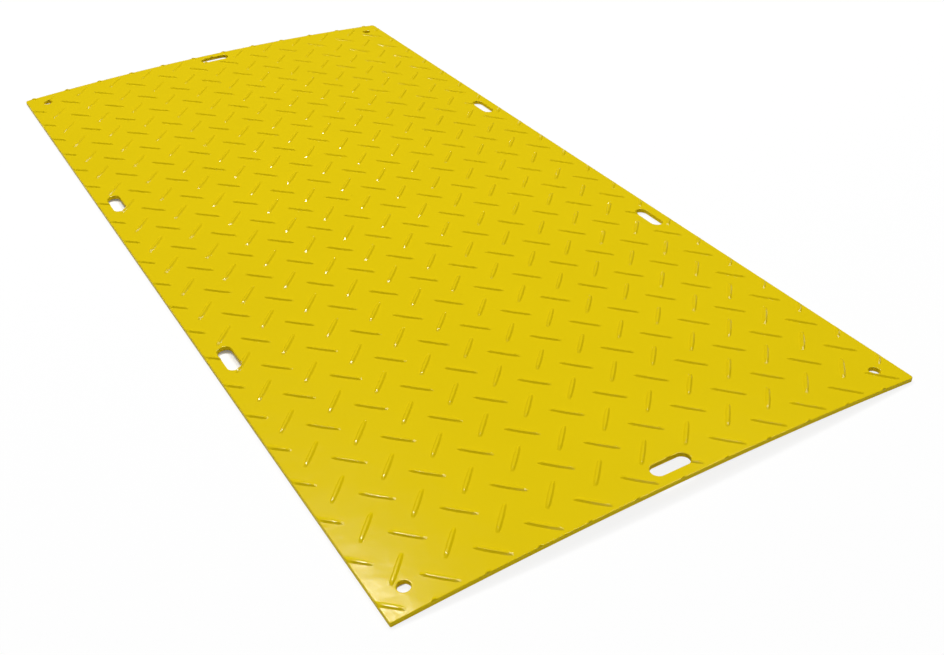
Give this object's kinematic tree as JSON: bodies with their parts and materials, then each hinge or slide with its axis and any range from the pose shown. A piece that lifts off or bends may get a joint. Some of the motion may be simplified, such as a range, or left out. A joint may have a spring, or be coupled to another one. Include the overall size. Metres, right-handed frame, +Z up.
{
  "type": "ground protection mat",
  "caption": "Rectangular plastic ground protection mat with raised crossed bar tread, hand slots along its edges and a round hole in each corner.",
  "frame": {"origin": "centre of the mat's footprint on the floor, midway between its two long lower edges", "axes": "+Z up from the tread side, +Y along the length away from the viewer, +X across the width"},
  "size_m": [1.2208, 2.44, 0.0343],
  "materials": {
    "mat": "compression-moulded yellow HDPE, soft gloss"
  },
  "bodies": {
    "root": {"mat": "mat"}
  },
  "joints": []
}
